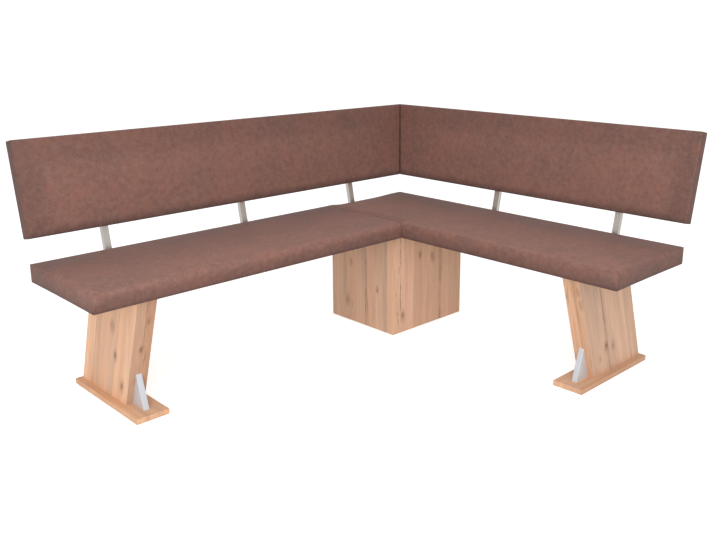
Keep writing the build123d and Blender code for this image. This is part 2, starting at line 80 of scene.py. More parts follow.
def step(tree, value, low, high):
    """Smooth step of a value, 0 at low and 1 at high; with low above high it falls instead."""
    limits = {"Value": value, "From Min": low, "From Max": high}
    return add(tree, "MapRange", limits, interpolation_type="SMOOTHSTEP").outputs[0]


def between(tree, value, low, high):
    """A value from 0 to 1 brought into a range."""
    return add(tree, "MapRange", {"Value": value, "To Min": low, "To Max": high}).outputs[0]


def mix(tree, share, first, second, how="MIX"):
    """Mix of two colours by a share."""
    made = add(tree, "Mix", {0: share, 6: first, 7: second}, data_type="RGBA", blend_type=how)
    return made.outputs[2]


def noise(tree, vector, scale, detail, rough=0.55):
    """Noise from 0 to 1 with so many features a metre."""
    inputs = {"Vector": vector, "Scale": scale, "Detail": detail, "Roughness": rough}
    return add(tree, "TexNoise", inputs).outputs[0]


def new_group(name, given, results):
    """Empty shader node group; its sockets are name: kind. Returns the tree, its inputs and its outputs."""
    tree = bpy.data.node_groups.new(name, "ShaderNodeTree")
    for socket, kind in given.items():
        tree.interface.new_socket(socket, in_out="INPUT", socket_type="NodeSocket" + kind)
    for socket, kind in results.items():
        tree.interface.new_socket(socket, in_out="OUTPUT", socket_type="NodeSocket" + kind)
    return tree, tree.nodes.new("NodeGroupInput").outputs, tree.nodes.new("NodeGroupOutput").inputs


def new_material(name, **sockets):
    """Material with a Principled shader whose plain sockets are set. Returns it, its tree and the shader."""
    material = bpy.data.materials.new(name)
    material.use_nodes = True
    shader = material.node_tree.nodes["Principled BSDF"]
    for socket, value in sockets.items():
        shader.inputs[socket.replace("_", " ")].default_value = value
    return material, material.node_tree, shader


def wire(tree, shader, height, strength, distance, **sockets):
    """Link sockets of a shader, and its normal to a bump of the height."""
    bump = add(tree, "Bump", {"Height": height, "Strength": strength, "Distance": distance})
    tree.links.new(bump.outputs[0], shader.inputs["Normal"])
    for socket, source in sockets.items():
        tree.links.new(source, shader.inputs[socket.replace("_", " ")])


def finish(material, *names):
    """Give nodes of the frame a material."""
    for name in names:
        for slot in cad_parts[name].material_slots:
            slot.material = material


# Streaks that run along z: noise drawn out to so many features a metre across and along the grain.
streaks, given, result = new_group(
    "grain streaks", {"Vector": "Vector", "Across": "Float", "Along": "Float"}, {"Value": "Float"}
)
through = maths(streaks, "MULTIPLY", given["Across"], 0.3)
density = add(streaks, "CombineXYZ", {0: given["Across"], 1: through, 2: given["Along"]}).outputs[0]
drawn = add(streaks, "VectorMath", {0: given["Vector"], 1: density}, operation="MULTIPLY").outputs[0]
streaks.links.new(noise(streaks, drawn, 1.0, 4.0, 0.6), result["Value"])

# A knot at (across, size, along): the grain parts round an ellipse twice as tall as wide, with a dark ragged
# core and a wider brown smudge.
knot, given, result = new_group(
    "knot", {"Vector": "Vector", "Knot": "Vector"}, {"Vector": "Vector", "Core": "Float", "Smudge": "Float"}
)
point = add(knot, "SeparateXYZ", {0: given["Vector"]}).outputs
place = add(knot, "SeparateXYZ", {0: given["Knot"]}).outputs
aside = maths(knot, "SUBTRACT", point[0], place[0])
wide = maths(knot, "DIVIDE", aside, place[1])
tall = maths(knot, "DIVIDE", maths(knot, "SUBTRACT", point[2], place[2]), place[1])
slim = maths(knot, "MULTIPLY", tall, 0.5)
away = maths(knot, "ADD", maths(knot, "MULTIPLY", wide, wide), maths(knot, "MULTIPLY", slim, slim))
pull = maths(knot, "EXPONENT", maths(knot, "MULTIPLY", away, -0.2))
parting = maths(knot, "MULTIPLY", maths(knot, "MULTIPLY", aside, pull), 0.85)
parted = maths(knot, "SUBTRACT", point[0], parting)
rags = maths(knot, "MULTIPLY", noise(knot, given["Vector"], 130.0, 4.0), 1.6)
ragged = maths(knot, "ADD", away, rags)
knot.links.new(add(knot, "CombineXYZ", {0: parted, 1: point[1], 2: point[2]}).outputs[0], result["Vector"])
knot.links.new(step(knot, ragged, 2.4, 0.8), result["Core"])
knot.links.new(step(knot, ragged, 6.0, 1.0), result["Smudge"])

# Wild oak: planks of one width with their own tone and grain, broad soft bands, fine fibres, weathered
# streaks, pores, knots, a few cracks, and dark broken joints with brown stains beside them. Planks lie across
# x, and the grain runs along z.
oak_inputs = {"Vector": "Vector", "Plank": "Float", "Shift": "Float", "Seed": "Float", "Grey": "Float"}
oak_inputs |= {"Seam": "Float", "Open": "Float"}
oak_inputs |= {"Pale": "Color", "Deep": "Color", "Knot 1": "Vector", "Knot 2": "Vector", "Knot 3": "Vector"}
wild_oak, given, result = new_group(
    "wild oak", oak_inputs, {"Color": "Color", "Roughness": "Float", "Height": "Float"}
)


def oak_maths(operation, first, second=0.0):
    """Result of a Math node in the wild-oak group."""
    return maths(wild_oak, operation, first, second)


def oak_streaks(vector, across, along):
    """Streaks in the wild-oak group."""
    return use(wild_oak, streaks, {"Vector": vector, "Across": across, "Along": along})["Value"]


flow = given["Vector"]
cores = 0.0
smudges = 0.0
for number in ("Knot 1", "Knot 2", "Knot 3"):
    flow, core, smudge = use(wild_oak, knot, {"Vector": flow, "Knot": given[number]})
    cores = oak_maths("MAXIMUM", core, cores)
    smudges = oak_maths("MAXIMUM", smudge, smudges)
plain = add(wild_oak, "SeparateXYZ", {0: given["Vector"]}).outputs
counted = oak_maths("DIVIDE", oak_maths("ADD", plain[0], given["Shift"]), given["Plank"])
label = add(wild_oak, "CombineXYZ", {0: oak_maths("FLOOR", counted), 1: given["Seed"]}).outputs[0]
chance = add(wild_oak, "TexWhiteNoise", {"Vector": label}, noise_dimensions="3D").outputs
gap = oak_maths("MULTIPLY", oak_maths("PINGPONG", counted, 0.5), given["Plank"])
own = add(wild_oak, "VectorMath", {0: chance[1], 1: (0.3, 3.0, 9.0)}, operation="MULTIPLY").outputs[0]
flow = add(wild_oak, "VectorMath", {0: flow, 1: own}, operation="ADD").outputs[0]
wander = oak_streaks(flow, 6.0, 1.7)
bent = oak_maths("MULTIPLY", oak_maths("SUBTRACT", wander, 0.5), 0.06)
bend = add(wild_oak, "CombineXYZ", {0: bent}).outputs[0]
flow = add(wild_oak, "VectorMath", {0: flow, 1: bend}, operation="ADD").outputs[0]
bands = oak_streaks(flow, 18.0, 1.0)
fibres = oak_streaks(flow, 170.0, 4.5)
hairs = oak_streaks(flow, 700.0, 14.0)
pores = step(wild_oak, oak_streaks(flow, 1300.0, 30.0), 0.57, 0.70)
weather = oak_maths("MULTIPLY", step(wild_oak, oak_streaks(flow, 13.0, 0.8), 0.46, 0.70), given["Grey"])
heart = step(wild_oak, oak_streaks(flow, 42.0, 1.2), 0.54, 0.80)
dashes = step(wild_oak, oak_streaks(flow, 320.0, 38.0), 0.42, 0.60)
vein = oak_maths("ABSOLUTE", oak_maths("SUBTRACT", oak_streaks(flow, 20.0, 0.6), 0.55))
broken = step(wild_oak, oak_streaks(flow, 40.0, 9.0), 0.42, 0.62)
rare = oak_maths("MULTIPLY", broken, step(wild_oak, oak_streaks(flow, 9.0, 2.4), 0.54, 0.66))
crack = oak_maths("MULTIPLY", step(wild_oak, vein, 0.026, 0.004), rare)
other = oak_maths("ABSOLUTE", oak_maths("SUBTRACT", oak_maths("ROUND", counted), 1.0))
tight = oak_maths("MULTIPLY", oak_maths("MINIMUM", other, 1.0), 0.7)
near = oak_maths("MULTIPLY", oak_maths("SUBTRACT", 1.0, tight), given["Open"])
joint_fades = (0.0042, 0.0010)
stain_fades = (0.024, 0.003)
line = oak_maths("MULTIPLY", step(wild_oak, gap, *joint_fades), near)
patches = step(wild_oak, oak_streaks(flow, 60.0, 7.0), 0.40, 0.60)
stain = oak_maths("MULTIPLY", oak_maths("MULTIPLY", step(wild_oak, gap, *stain_fades), near), patches)
butt = oak_maths("ABSOLUTE", oak_maths("SUBTRACT", plain[0], given["Seam"]))
line = oak_maths("MAXIMUM", line, step(wild_oak, butt, *joint_fades))
joint = oak_maths("MULTIPLY", line, oak_maths("ADD", broken, 0.12))
oak_grey = (0.40, 0.305, 0.245, 1)
oak_dark = (0.16, 0.080, 0.042, 1)
oak_brown = (0.40, 0.215, 0.125, 1)
tone = oak_maths("ADD", oak_maths("MULTIPLY", bands, 0.5), oak_maths("MULTIPLY", fibres, 0.3))
tone = oak_maths("ADD", tone, oak_maths("MULTIPLY", hairs, 0.2))
colour = mix(wild_oak, step(wild_oak, tone, 0.36, 0.64), given["Pale"], given["Deep"])
colour = mix(wild_oak, weather, colour, oak_grey)
oak_marks = [
    (heart, 0.40, oak_brown),
    (pores, 0.16, oak_dark),
    (smudges, 0.38, oak_brown),
    (stain, 0.45, oak_brown),
    (crack, 0.62, oak_dark),
    (oak_maths("MULTIPLY", cores, dashes), 0.70, oak_dark),
    (joint, 0.80, oak_dark),
]
for pattern, share, hue in oak_marks:
    colour = mix(wild_oak, oak_maths("MULTIPLY", pattern, share), colour, hue)
bright = between(wild_oak, chance[0], 0.90, 1.08)
colour = add(wild_oak, "VectorMath", {0: colour, "Scale": bright}, operation="SCALE").outputs[0]
wild_oak.links.new(colour, result["Color"])
gloss = oak_maths("ADD", oak_maths("MULTIPLY", fibres, 0.2), 0.38)
wild_oak.links.new(oak_maths("ADD", gloss, oak_maths("MULTIPLY", pores, 0.15)), result["Roughness"])
hollow = oak_maths("MAXIMUM", oak_maths("MAXIMUM", joint, crack), oak_maths("MULTIPLY", pores, 0.4))
wild_oak.links.new(oak_maths("SUBTRACT", hairs, hollow), result["Height"])

oak_pale = (0.80, 0.505, 0.345, 1)
oak_deep = (0.62, 0.370, 0.245, 1)


def board_coordinates(tree, across, grain):
    """Object coordinates turned to a board: x across it, y through it, z along the grain."""
    turn = Matrix((across, grain.cross(across), grain))
    inputs = {
        "Vector": add(tree, "TexCoord").outputs["Object"],
        "Location": -(turn @ floor_corner),
        "Rotation": turn.to_euler(),
    }
    return add(tree, "Mapping", inputs).outputs[0]


def oak(
    name, across, grain, plank, joint_at, seed, knots,
    grey=0.5, pale=oak_pale, deep=oak_deep, seam=9.0, opened=1.0,
):
    """Wild-oak finish of a board, with an open joint between planks at a place across it and three knots.

    How dark that joint is goes by opened; the other joints are tight. A seam is one more open joint, and by
    default it lies far off the board.
    """
    material, tree, shader = new_material(name, Specular_IOR_Level=0.4)
    inputs = {"Vector": board_coordinates(tree, across, grain), "Plank": plank, "Shift": plank - joint_at}
    inputs |= {"Seed": seed, "Grey": grey, "Pale": pale, "Deep": deep, "Seam": seam, "Open": opened}
    inputs |= {f"Knot {index}": place for index, place in enumerate(knots, 1)}
    made = use(tree, wild_oak, inputs)
    wire(tree, shader, made["Height"], 0.35, 0.0008, Base_Color=made["Color"], Roughness=made["Roughness"])
    return material


cheek_knots = [(0.117, 0.009, 0.091), (0.141, 0.006, 0.267), (0.300, 0.006, 0.180)]
front_knots = [(0.203, 0.010, 0.297), (0.385, 0.009, 0.072), (0.282, 0.007, 0.320)]
rear_knots = [(0.090, 0.010, 0.310), (0.260, 0.008, 0.120), (0.350, 0.006, 0.250)]
cheek_back = (floor_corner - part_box("corner_box_front_board")[0]).dot(Vector((1, 0, 0)))
seam_inset = 0.002
cheek_oak = oak(
    "oak of the box cheek", out_of_side["long"], up, plank=0.127, joint_at=0.231, seed=3.0, knots=cheek_knots
)
front_oak = oak(
    "oak of the box front", along_side["long"], up, plank=0.165, joint_at=0.152, seed=5.0, knots=front_knots,
    seam=cheek_back - seam_inset,
)
rear_oak = oak(
    "oak of the box rear", along_side["long"], up, plank=0.140, joint_at=0.180, seed=8.0, knots=rear_knots
)
side_oak = oak(
    "oak of the box side", out_of_side["long"], up, plank=0.140, joint_at=0.150, seed=11.0, knots=rear_knots
)
finish(cheek_oak, "corner_box_cheek")
finish(front_oak, "corner_box_front_board")
finish(rear_oak, "corner_box_rear_board")
finish(side_oak, "corner_box_side_board")


# Legs
# Two leaning box legs, each of four boards with mitred edges in the same wild-oak finish. Its grain
# follows the lean. Blocks inside the head and foot take the screws.
leg_lean = radians(19.1)
cheek_plank = 0.145
edge_plank = 0.090
leg_knots = {
    "long": [(0.098, 0.009, 0.341), (0.137, 0.008, 0.242), (0.196, 0.010, 0.155)],
    "short": [(0.136, 0.009, 0.175), (0.093, 0.008, 0.153), (0.184, 0.006, 0.150)],
}
edge_knots = {
    "long": [(1.542, 0.007, 0.330), (1.552, 0.005, 0.200), (1.528, 0.006, 0.440)],
    "short": [(1.226, 0.007, 0.420), (1.243, 0.009, 0.178), (1.220, 0.006, 0.470)],
}
cheek_joint = {"long": -0.006, "short": 0.127}
edge_joint = {"long": 1.5385, "short": 1.205}
cheek_seed = {"long": 4, "short": 5}
edge_seed = {"long": 59, "short": 12}
cheek_open = {"long": 0.45, "short": 0.9}
edge_open = 0.45
cheek_grey = {"long": 0.3, "short": 0.5}
cheek_pale = {"long": (0.98, 0.605, 0.385, 1), "short": (0.81, 0.525, 0.36, 1)}
cheek_deep = {"long": (0.81, 0.455, 0.272, 1), "short": (0.63, 0.385, 0.255, 1)}
edge_pale = (0.77, 0.455, 0.285, 1)
edge_deep = (0.54, 0.295, 0.175, 1)
for side in ("long", "short"):
    out, along = out_of_side[side], along_side[side]
    grain = out * sin(leg_lean) + up * cos(leg_lean)
    across = out * cos(leg_lean) - up * sin(leg_lean)
    broad = oak(
        f"oak of the {side} leg cheeks", across, grain, cheek_plank, cheek_joint[side], cheek_seed[side],
        leg_knots[side], cheek_grey[side], cheek_pale[side], cheek_deep[side], opened=cheek_open[side],
    )
    narrow = oak(
        f"oak of the {side} leg edges", along, grain, edge_plank, edge_joint[side], edge_seed[side],
        edge_knots[side], pale=edge_pale, deep=edge_deep, opened=edge_open,
    )
    finish(broad, f"{side}_leg_outer_cheek", f"{side}_leg_inner_cheek")
    finish(narrow, f"{side}_leg_front_board", f"{side}_leg_back_board")


# Foot plates
# A flat board under each leg, with the oak grain lengthwise and a warmer tone, screwed up into the leg.
foot_pale = {"long": (0.96, 0.585, 0.355, 1), "short": (0.86, 0.530, 0.333, 1)}
foot_deep = {"long": (0.74, 0.410, 0.235, 1), "short": (0.63, 0.355, 0.210, 1)}
foot_plank = 0.24
foot_grey = 0.15
foot_seed = {"long": 24, "short": 25}
foot_knots = {
    "long": [(1.500, 0.008, 0.300), (1.585, 0.006, 0.080), (1.560, 0.005, 0.345)],
    "short": [(1.160, 0.008, 0.310), (1.245, 0.006, 0.100), (1.215, 0.005, 0.350)],
}
foot_joint = {"long": 1.42, "short": 1.08}
for side in ("long", "short"):
    plate_oak = oak(
        f"oak of the {side} foot plate", along_side[side], -out_of_side[side], foot_plank, foot_joint[side],
        foot_seed[side], foot_knots[side], foot_grey, foot_pale[side], foot_deep[side],
    )
    finish(plate_oak, f"{side}_foot_plate")


# Gussets
# A wedge of brushed aluminium, lacquered matt, braces each leg's front against its foot plate. The brush
# marks run up it.
material, tree, shader = new_material("brushed aluminium", Metallic=0.45)
place = board_coordinates(tree, along_side["long"], up)
marks = use(tree, streaks, {"Vector": place, "Across": 900.0, "Along": 14.0})[0]
tint = mix(tree, marks, (0.63, 0.66, 0.71, 1), (0.74, 0.77, 0.82, 1))
rough = between(tree, marks, 0.36, 0.56)
wire(tree, shader, marks, 0.12, 0.0005, Base_Color=tint, Roughness=rough)
finish(material, "long_leg_gusset", "short_leg_gusset")


# Glides and post caps
# Small discs of black plastic under the foot plates and the box, and plugs in the ends of the posts.
material, tree, shader = new_material("black plastic", Specular_IOR_Level=0.4)
place = add(tree, "TexCoord").outputs["Object"]
pebble = noise(tree, place, 1500.0, 2.0)
tint = mix(tree, noise(tree, place, 60.0, 3.0), (0.012, 0.012, 0.013, 1), (0.030, 0.029, 0.028, 1))
rough = between(tree, pebble, 0.4, 0.65)
wire(tree, shader, pebble, 0.2, 0.0003, Base_Color=tint, Roughness=rough)
finish(material, "long_foot_glides", "short_foot_glides", "corner_box_glides", "post_caps")


# Rails, cleats and dowels
# Plain beech battens that stiffen the seats and carry them on the box, and the dowels of the box.
material, tree, shader = new_material("plain beech", Specular_IOR_Level=0.3)
place = board_coordinates(tree, out_of_side["long"], along_side["long"])
fleck = step(tree, use(tree, streaks, {"Vector": place, "Across": 700.0, "Along": 60.0})[0], 0.5, 0.7)
year = use(tree, streaks, {"Vector": place, "Across": 130.0, "Along": 2.5})[0]
tint = mix(tree, year, (0.72, 0.48, 0.30, 1), (0.56, 0.34, 0.20, 1))
tint = mix(tree, maths(tree, "MULTIPLY", fleck, 0.35), tint, (0.38, 0.20, 0.11, 1))
rough = between(tree, year, 0.5, 0.7)
wire(tree, shader, fleck, 0.2, 0.0004, Base_Color=tint, Roughness=rough)
finish(material, "long_seat_rail", "short_seat_rail", "corner_box_cheek_cleat", "corner_box_front_cleat")
finish(material, "corner_box_dowels")


# Boards in the upholstery and blocks in the legs
# Raw chipboard: pressed wood chips of many tones, with a coarse sawn face.
material, tree, shader = new_material("raw chipboard", Specular_IOR_Level=0.2)
place = add(tree, "TexCoord").outputs["Object"]
chips = add(tree, "TexVoronoi", {"Vector": place, "Scale": 260.0, "Randomness": 1.0}).outputs
chip = add(tree, "SeparateColor", {0: chips["Color"]}).outputs[0]
tint = mix(tree, chip, (0.60, 0.42, 0.26, 1), (0.36, 0.22, 0.12, 1))
tint = mix(tree, noise(tree, place, 900.0, 2.0), tint, (0.66, 0.50, 0.33, 1))
rough = between(tree, chip, 0.7, 0.9)
wire(tree, shader, chips["Distance"], 0.3, 0.0006, Base_Color=tint, Roughness=rough)
for side in ("long", "short"):
    finish(material, f"{side}_seat_board", f"{side}_back_board")
    finish(material, f"{side}_leg_head_block", f"{side}_leg_foot_block")


# Screws, angles, head plates and corner bracket
# Zinc-plated steel: a pale grey metal with a faint spangle, screwed from below and from the rear.
material, tree, shader = new_material("zinc-plated steel", Metallic=1.0)
place = add(tree, "TexCoord").outputs["Object"]
spangle = add(tree, "TexVoronoi", {"Vector": place, "Scale": 240.0}).outputs["Distance"]
tint = mix(tree, spangle, (0.55, 0.56, 0.57, 1), (0.70, 0.70, 0.69, 1))
rough = between(tree, noise(tree, place, 90.0, 4.0), 0.28, 0.5)
wire(tree, shader, spangle, 0.08, 0.0003, Base_Color=tint, Roughness=rough)
finish(material, "long_leg_head_plate", "short_leg_head_plate", "seat_angles", "back_corner_bracket")
finish(material, "post_seat_screws", "post_back_screws", "leg_plate_screws", "leg_head_screws")
finish(material, "foot_plate_screws", "gusset_screws", "seat_rail_screws", "corner_box_screws")
finish(material, "seat_angle_screws", "back_corner_screws")


# Backrest posts
# Five bent tubes of satin steel, brushed lengthwise, with a faintly warm grey tone.
material, tree, shader = new_material("satin steel", Metallic=1.0)
place = board_coordinates(tree, along_side["long"], up)
marks = use(tree, streaks, {"Vector": place, "Across": 1100.0, "Along": 9.0})[0]
tint = mix(tree, marks, (0.78, 0.755, 0.69, 1), (0.89, 0.865, 0.80, 1))
rough = between(tree, marks, 0.28, 0.46)
wire(tree, shader, marks, 0.12, 0.0004, Base_Color=tint, Roughness=rough)
finish(material, "long_back_post_1", "long_back_post_2", "long_back_post_3")
finish(material, "short_back_post_1", "short_back_post_2")


# Seat pads
# Foam on the seat boards under a tight cover of brown faux leather, drawn over soft edges and stapled
# under the boards. The corner belongs to the short seat, and the long one butts against it in a seam.

# Radii of the cover's edges, and the distance from the rear over which the roll grows.
front_roll = 0.022
rear_roll = 0.003
roll_grows = (0.03, 0.20)
lower_corner = 0.006
lower_edge = 0.0012
# The butt seam: its rim's radius, how much of the CAD gap the cover fills, the loop that keeps the rim crisp,
# and how the short seat's front roll goes over into it.
seam_roll = 0.0004
seam_gap = 0.0004
seam_loop = 0.0004
meeting_grows = (0.06, 0.03)
meeting_ends = 0.012
# The hem under the board, and the lip along the visible lower edges.
hem_width = 0.028
hem_depth = 0.0015
hem_rise = 0.0019
hem_step = 0.004
lip_width = 0.007
lip_flat = 0.6
lip_drop = 0.002
lip_starts = 0.01
# How far the foam swells the cover, how much lower the cover starts, and how far its free sides are drawn in
# between the corners.
seat_swell = 0.005
seat_slack = 0.0004
side_pull = 0.0015
# Lattice of the covers: fine and coarse spacing and the zone between them, over the face and through it.
seat_lattice = (0.002, 0.016, 0.060)
thick_lattice = (0.0015, 0.008, 0.020)
cover_pressure = 4.0
cover_stiffness = 25.0
cover_frames = 20
# The cover is held up to the staple line and, in the seam, up to its free rim.
staple_line = 0.003
free_rim = 0.004
# Painted light on the seat's top, and the share of it kept on the front roll, the end and by the seam;
# painted shade of the leather; and the distances over which they fade.
roll_light = {"long": 0.5, "short": 0.05}
end_light = {"long": 0.6, "short": 0.1}
light_starts = 0.03
light_full = 0.85
seam_light = 0.4
rise_starts = 0.004
rise_full = 0.002
face_zone = 0.02
face_shade = {"long": 0.0, "short": 0.13}
lower_shade = 0.30
front_shade = 0.20
lower_fades = (0.0, 0.05)
hem_shade = 0.30
hem_fades = (0.002, 0.009)
rear_shade = 0.18
rear_fades = (0.02, 0.16)
corner_shade_fades = (0.003, 0.012)
corner_shade_height = (0.004, 0.016)
seam_fades = (0.001, 0.006)
seam_top = 0.008


def graded(length, places, fine, coarse, zone, more=()):
    """Lattice lines over a length: fine spacing at each place, coarse a zone away from it, and some more.

    The lines are equal steps of the running total of one over the spacing.
    """
    ruler = np.linspace(0, length, 4001)
    away = np.abs(ruler[:, None] - np.array(places)).min(axis=1)
    spacing = fine + (coarse - fine) * np.clip(away / zone, 0, 1)
    total = np.concatenate([[0], np.cumsum(np.diff(ruler) / spacing[1:])])
    even = np.linspace(0, total[-1], int(np.ceil(total[-1])) + 1)
    return np.sort(np.append(np.interp(even, total, ruler), more))


def box_skin(*lines):
    """Closed skin of a box lattice: each point of its six sides once, and the quads between them."""
    counts = [len(each) for each in lines]
    index = np.indices(counts)
    last = np.array(counts)[:, None, None, None] - 1
    outside = ((index == 0) | (index == last)).any(axis=0)
    number = np.full(counts, -1)
    number[outside] = np.arange(outside.sum())
    points = np.stack([each[index[axis][outside]] for axis, each in enumerate(lines)], axis=1)
    sheets = [number.take(end, axis=axis) for axis in range(3) for end in (0, -1)]
    quads = [
        np.stack([s[:-1, :-1], s[1:, :-1], s[1:, 1:], s[:-1, 1:]], axis=-1).reshape(-1, 4) for s in sheets
    ]
    return points, np.concatenate(quads)


def quarter(inset, drop, radius):
    """Turns a square edge into a quarter circle: an offset from the circle's centre keeps its direction."""
    wide = np.maximum(radius - inset, 0)
    tall = np.maximum(radius - drop, 0)
    share = np.maximum(wide, tall) / np.maximum(np.hypot(wide, tall), 1e-9)
    rolled = (wide > 0) & (tall > 0)
    return np.where(rolled, radius - wide * share, inset), np.where(rolled, radius - tall * share, drop)


def smooth(value, low, high):
    """Smooth step of an array, 0 at low and 1 at high."""
    share = np.clip((value - low) / (high - low), 0, 1)
    return share * share * (3 - 2 * share)


def fading(value, low, high):
    """Smooth step of an array, 1 at low and 0 at high."""
    return 1 - smooth(value, low, high)


def soft_block(points, size, corner, edge, foot, butted):
    """Rolls the edges of a box skin of a size, with its soft face at the top of the third axis.

    In plan a point stands off from an inner outline, the corner radius smaller all round, by that radius
    less its inset, so that upright corners become squarish arcs of the third power. Inset and drop follow a
    quarter circle at the top, and a smaller one at the foot. A butted start is left straight, and only its
    rim is drawn in; high powers keep that to the rim.
    """
    length, width, thickness = size
    start = -1.0 if butted else corner
    inner_length = np.clip(points[:, 0], start, length - corner)
    inner = np.stack([inner_length, np.clip(points[:, 1], corner, width - corner)])
    off = points[:, :2].T - inner
    inset = corner - np.abs(off).max(axis=0)
    inset, drop = quarter(inset, thickness - points[:, 2], edge)
    inset, height = quarter(inset, thickness - drop, foot)
    reach = (np.abs(off) ** 3).sum(axis=0) ** (1 / 3)
    flat = inner + off / np.maximum(reach, 1e-9) * (corner - inset)
    if butted:
        close = np.clip(1 - points[:, 0] / seam_roll, 0, 1)
        drawn = seam_roll * (1 - np.sqrt(1 - close**2))
        height = height - drawn * (height / thickness) ** 6
        middle = flat[1] - width / 2
        flat[1] = flat[1] - drawn * np.sign(middle) * np.abs(2 * middle / width) ** 30
    return np.stack([flat[0], flat[1], height], axis=1)


def turned_under(points, size, width, depth, lift, butted):
    """Height of the cover under a pad: it lies a little below the board along the rim, and inside the hem
    it stops just inside the board. Two sine waves along the hem make its edge uneven."""
    length, breadth, _ = size
    rim = np.minimum(np.minimum(points[:, 1], breadth - points[:, 1]), length - points[:, 0])
    rim = rim if butted else np.minimum(rim, points[:, 0])
    wave = 0.003 * np.sin(points[:, 0] * 71) + 0.002 * np.sin(points[:, 0] * 173 + points[:, 1] * 97)
    risen = lift * smooth(rim, width + wave, width + wave + hem_step)
    return np.where(points[:, 2] == 0, risen - depth, 0)


def skin_object(name, points, quads):
    """Mesh object at the origin with its faces turned outwards and shaded smooth."""
    mesh = bpy.data.meshes.new(name)
    mesh.from_pydata(points.tolist(), [], quads.tolist())
    work = bmesh.new()
    work.from_mesh(mesh)
    bmesh.ops.recalc_face_normals(work, faces=work.faces)
    work.to_mesh(mesh)
    work.free()
    mesh.shade_smooth()
    made = bpy.data.objects.new(name, mesh)
    bpy.context.scene.collection.objects.link(made)
    return made


def coordinates(mesh):
    """Places of a mesh's points as an array."""
    flat = np.empty(len(mesh.vertices) * 3, np.float32)
    mesh.vertices.foreach_get("co", flat)
    return flat.reshape(-1, 3).astype(float)


def swell(piece, held, cap):
    """Foam pressing out a cover: cloth under pressure, fixed where it is held, for a set number of frames.

    The foam stops it from moving in, so a point takes the outward part of its move along its own normal,
    and all moves are scaled so that the largest is the cap.
    """
    scene = bpy.context.scene
    before = coordinates(piece.data)
    normals = np.empty(before.size, np.float32)
    piece.data.vertex_normals.foreach_get("vector", normals)
    normals = normals.reshape(-1, 3)
    fixed = piece.vertex_groups.new(name="held")
    fixed.add(np.flatnonzero(held).tolist(), 1.0, "REPLACE")
    cloth = piece.modifiers.new("cover", "CLOTH")
    cloth.settings.vertex_group_mass = fixed.name
    cloth.settings.use_pressure = True
    cloth.settings.uniform_pressure_force = cover_pressure
    cloth.settings.effector_weights.gravity = 0.0
    cloth.settings.tension_stiffness = cover_stiffness
    cloth.settings.compression_stiffness = cover_stiffness
    for number in range(1, cover_frames + 1):
        scene.frame_set(number)
    after = coordinates(piece.evaluated_get(bpy.context.evaluated_depsgraph_get()).data)
    piece.modifiers.remove(cloth)
    piece.vertex_groups.remove(fixed)
    scene.frame_set(1)
    outward = np.maximum(((after - before) * normals).sum(axis=1, keepdims=True), 0)
    place = before + normals * cap * outward / outward.max()
    piece.data.vertices.foreach_set("co", place.astype(np.float32).ravel())
    piece.data.update()


def mark(piece, name, values):
    """Store a value at each point of a piece for its material."""
    attribute = piece.data.attributes.new(name, "FLOAT", "POINT")
    attribute.data.foreach_set("value", values.astype(np.float32))


def placed(along, out, lengthwise, outward, upward):
    """Places in the room, counted from the floor under the corner along a side, out of it and up."""
    floor_place = np.array(floor_corner) + np.outer(lengthwise, along) + np.outer(outward, out)
    return floor_place + np.outer(upward, up)


def rounded_out(piece):
    """One live subdivision, the same on screen and in the render."""
    finer = piece.modifiers.new("finer", "SUBSURF")
    finer.levels = 1
    finer.render_levels = 1


# Brown faux leather: clouds of red-brown and grey-brown, finer mottling and specks, a fine pebbled grain,
# with painted light that makes it paler and greyer, as if lit and catching a sheen, and painted shade that
# darkens it.
leather, tree, shader = new_material("brown faux leather", Specular_IOR_Level=0.3, Sheen_Weight=0.06)
shader.inputs["Sheen Roughness"].default_value = 0.45
place = add(tree, "TexCoord").outputs["Object"]
clouds = noise(tree, place, 6.0, 4.0, 0.6)
mottle = noise(tree, place, 52.0, 5.0, 0.66)
rust = noise(tree, place, 15.0, 4.0, 0.6)
specks = noise(tree, place, 190.0, 4.0, 0.75)
tint = mix(tree, step(tree, clouds, 0.36, 0.64), (0.178, 0.089, 0.070, 1), (0.214, 0.097, 0.073, 1))
leather_marks = [
    (rust, 0.50, 0.72, 0.65, (0.248, 0.104, 0.074, 1)),
    (mottle, 0.44, 0.72, 0.70, (0.250, 0.130, 0.105, 1)),
    (mottle, 0.48, 0.28, 0.55, (0.138, 0.062, 0.047, 1)),
    (specks, 0.48, 0.72, 0.50, (0.275, 0.148, 0.120, 1)),
    (specks, 0.46, 0.26, 0.40, (0.115, 0.052, 0.040, 1)),
]
for pattern, low, high, share, hue in leather_marks:
    tint = mix(tree, maths(tree, "MULTIPLY", step(tree, pattern, low, high), share), tint, hue)
# Painted light: this mark makes the colour up to about a third paler and a little greyer, as lit leather with
# a sheen looks.
painted_light = add(tree, "Attribute", attribute_name="painted_light").outputs["Fac"]
tint = mix(tree, painted_light, tint, (1.30, 1.35, 1.35, 1), "MULTIPLY")
# Painted shade: this mark darkens the colour to about half.
shade = add(tree, "Attribute", attribute_name="shade").outputs["Fac"]
tint = mix(tree, shade, tint, (0.48, 0.50, 0.53, 1), "MULTIPLY")
cells = add(tree, "TexVoronoi", {"Vector": place, "Scale": 750.0}, feature="SMOOTH_F1").outputs["Distance"]
grain = maths(tree, "ADD", cells, maths(tree, "MULTIPLY", noise(tree, place, 120.0, 4.0), 0.8))
rough = between(tree, mottle, 0.5, 0.68)
wire(tree, shader, grain, 0.22, 0.0007, Base_Color=tint, Roughness=rough)

